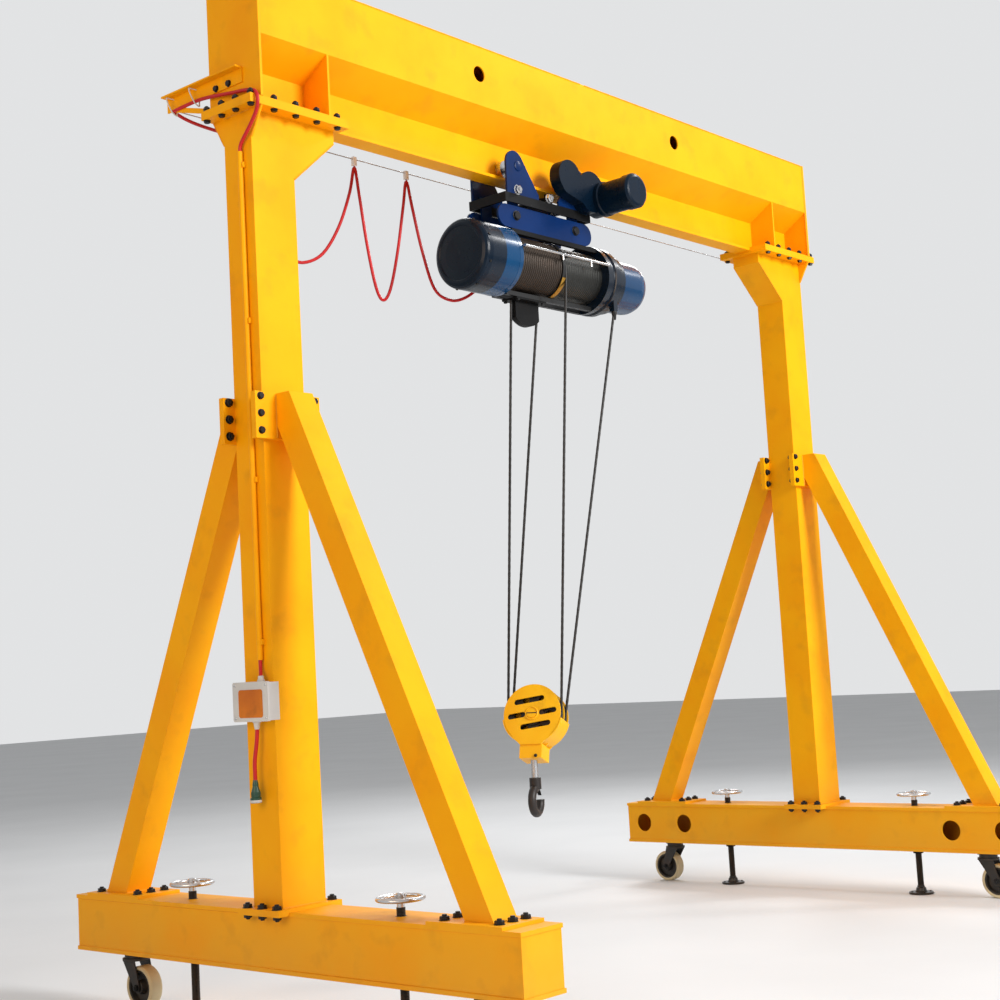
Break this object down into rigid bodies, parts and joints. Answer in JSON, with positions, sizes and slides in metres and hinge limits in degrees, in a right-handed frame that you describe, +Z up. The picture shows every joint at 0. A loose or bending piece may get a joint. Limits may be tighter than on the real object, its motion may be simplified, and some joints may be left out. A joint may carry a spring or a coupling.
{
  "type": "gantry crane",
  "caption": "Portal crane on casters and screw jacks: box girder on braced legs, with an electric rope hoist on a trolley, a hook block and a hanging power cable.",
  "frame": {"origin": "on the floor, midway between the two legs, under the girder", "axes": "+X along the girder from the near leg to the far leg, +Y along the base beams, +Z up"},
  "size_m": [4.885, 2.9, 4.77],
  "materials": {
    "portal_paint": "gloss",
    "hoist_blue": "satin",
    "hoist_navy": "satin",
    "dark_metal": "satin",
    "bright_steel": "satin",
    "wound_rope": "rough",
    "block_paint": "satin",
    "cast_sheave": "rough",
    "caster_tread": "satin",
    "cable_sheath": "matte",
    "pale_plastic": "matte",
    "plug_plastic": "satin"
  },
  "bodies": {
    "portal": {"girder_box": "portal_paint", "girder_track": "portal_paint", "girder_end_plates": "portal_paint", "girder_gussets": "portal_paint", "head_plates": "portal_paint", "column_near": "portal_paint", "column_far": "portal_paint", "column_heads": "portal_paint", "foot_plates": "portal_paint", "brace_near_left": "portal_paint", "brace_near_right": "portal_paint", "brace_far_left": "portal_paint", "brace_far_right": "portal_paint", "brace_flanges": "portal_paint", "base_beam_near": "portal_paint", "base_beam_far": "portal_paint", "jack_nuts": "dark_metal", "cable_brackets": "portal_paint", "cable_wire": "bright_steel", "conduit": "portal_paint", "control_box": "pale_plastic", "supply_pigtail": "cable_sheath", "supply_plug": "plug_plastic", "power_cable": "cable_sheath"},
    "trolley": {"trolley_frame": "hoist_blue", "trolley_rails": "dark_metal", "travel_drive": "hoist_navy", "suspension_plates": "hoist_blue", "hoist_motor": "hoist_blue", "motor_cover": "hoist_navy", "hoist_housing": "hoist_blue", "hoist_gearbox": "hoist_navy", "rope_guide": "dark_metal", "sheave_guard": "dark_metal", "rope_falls": "dark_metal"},
    "drum": {"drum": "wound_rope"},
    "block": {"block_shell": "block_paint"},
    "block_sheave_1": {"block_sheave_1": "cast_sheave"},
    "block_sheave_2": {"block_sheave_2": "cast_sheave"},
    "hook": {"hook": "dark_metal"},
    "cable_clip_1": {"cable_clip_1": "pale_plastic"},
    "cable_clip_2": {"cable_clip_2": "pale_plastic"},
    "cable_clip_3": {"cable_clip_3": "pale_plastic"},
    "jack_1": {"jack_1": "dark_metal"},
    "caster_fork_1": {"caster_fork_1": "dark_metal"},
    "caster_wheel_1": {"caster_wheel_1": "caster_tread"},
    "jack_2": {"jack_2": "dark_metal"},
    "caster_fork_2": {"caster_fork_2": "dark_metal"},
    "caster_wheel_2": {"caster_wheel_2": "caster_tread"},
    "jack_3": {"jack_3": "dark_metal"},
    "caster_fork_3": {"caster_fork_3": "dark_metal"},
    "caster_wheel_3": {"caster_wheel_3": "caster_tread"},
    "jack_4": {"jack_4": "dark_metal"},
    "caster_fork_4": {"caster_fork_4": "dark_metal"},
    "caster_wheel_4": {"caster_wheel_4": "caster_tread"}
  },
  "joints": [
    {"name": "trolley_travel", "type": "slide", "parent": "portal", "child": "trolley", "axis": [1, 0, 0], "range_m": [-1.12, 1.48], "deforming": ["power_cable"]},
    {"name": "hook_lift", "type": "slide", "parent": "trolley", "child": "block", "axis": [0, 0, 1], "range_m": [-0.7, 1.7], "deforming": ["rope_falls"]},
    {"name": "drum_turn", "type": "hinge", "parent": "trolley", "child": "drum", "pos_m": [0, 0, 3.693], "axis": [1, 0, 0], "range_deg": [-2679, 1104]},
    {"name": "block_sheave_1_turn", "type": "hinge", "parent": "block", "child": "block_sheave_1", "pos_m": [-0.376, 0.112, 1.257], "axis": [-0.8879, -0.3408, 0.309], "range_deg": [-793, 1924]},
    {"name": "block_sheave_2_turn", "type": "hinge", "parent": "block", "child": "block_sheave_2", "pos_m": [-0.376, 0.112, 1.257], "axis": [-0.8879, -0.3408, 0.309], "range_deg": [-642, 265]},
    {"name": "hook_swivel", "type": "hinge", "parent": "block", "child": "hook", "pos_m": [-0.4452, 0.0854, 0.9], "axis": [0, 0, 1], "continuous": true},
    {"name": "cable_clip_1_slide", "type": "slide", "parent": "portal", "child": "cable_clip_1", "axis": [1, 0, 0], "range_m": [-0.687, 0.906]},
    {"name": "cable_clip_2_slide", "type": "slide", "parent": "portal", "child": "cable_clip_2", "axis": [1, 0, 0], "range_m": [-0.967, 1.276]},
    {"name": "cable_clip_3_slide", "type": "slide", "parent": "portal", "child": "cable_clip_3", "axis": [1, 0, 0], "range_m": [-0.129, 0.169]},
    {"name": "jack_1_lift", "type": "slide", "parent": "portal", "child": "jack_1", "axis": [0, 0, 1], "range_m": [0, 0.12]},
    {"name": "caster_1_swivel", "type": "hinge", "parent": "portal", "child": "caster_fork_1", "pos_m": [-2.25, 1.148, 0.25], "axis": [0, 0, 1], "continuous": true},
    {"name": "caster_1_roll", "type": "hinge", "parent": "caster_fork_1", "child": "caster_wheel_1", "pos_m": [-2.25, 1.088, 0.1], "axis": [1, 0, 0], "continuous": true},
    {"name": "jack_2_lift", "type": "slide", "parent": "portal", "child": "jack_2", "axis": [0, 0, 1], "range_m": [0, 0.12]},
    {"name": "caster_2_swivel", "type": "hinge", "parent": "portal", "child": "caster_fork_2", "pos_m": [-2.25, -1.148, 0.25], "axis": [0, 0, 1], "continuous": true},
    {"name": "caster_2_roll", "type": "hinge", "parent": "caster_fork_2", "child": "caster_wheel_2", "pos_m": [-2.25, -1.208, 0.1], "axis": [1, 0, 0], "continuous": true},
    {"name": "jack_3_lift", "type": "slide", "parent": "portal", "child": "jack_3", "axis": [0, 0, 1], "range_m": [0, 0.12]},
    {"name": "caster_3_swivel", "type": "hinge", "parent": "portal", "child": "caster_fork_3", "pos_m": [2.25, 1.148, 0.25], "axis": [0, 0, 1], "continuous": true},
    {"name": "caster_3_roll", "type": "hinge", "parent": "caster_fork_3", "child": "caster_wheel_3", "pos_m": [2.25, 1.208, 0.1], "axis": [1, 0, 0], "continuous": true},
    {"name": "jack_4_lift", "type": "slide", "parent": "portal", "child": "jack_4", "axis": [0, 0, 1], "range_m": [0, 0.12]},
    {"name": "caster_4_swivel", "type": "hinge", "parent": "portal", "child": "caster_fork_4", "pos_m": [2.25, -1.148, 0.25], "axis": [0, 0, 1], "continuous": true},
    {"name": "caster_4_roll", "type": "hinge", "parent": "caster_fork_4", "child": "caster_wheel_4", "pos_m": [2.25, -1.208, 0.1], "axis": [1, 0, 0], "continuous": true}
  ],
  "couplings": [
    {"joint": "drum_turn", "follows": "hook_lift", "rad_per_m": -27.491},
    {"joint": "block_sheave_1_turn", "follows": "hook_lift", "rad_per_m": 19.737},
    {"joint": "block_sheave_2_turn", "follows": "hook_lift", "rad_per_m": -6.579},
    {"joint": "cable_clip_1_slide", "follows": "trolley_travel", "ratio": 0.609},
    {"joint": "cable_clip_2_slide", "follows": "trolley_travel", "ratio": 0.859},
    {"joint": "cable_clip_3_slide", "follows": "trolley_travel", "ratio": 0.111}
  ]
}
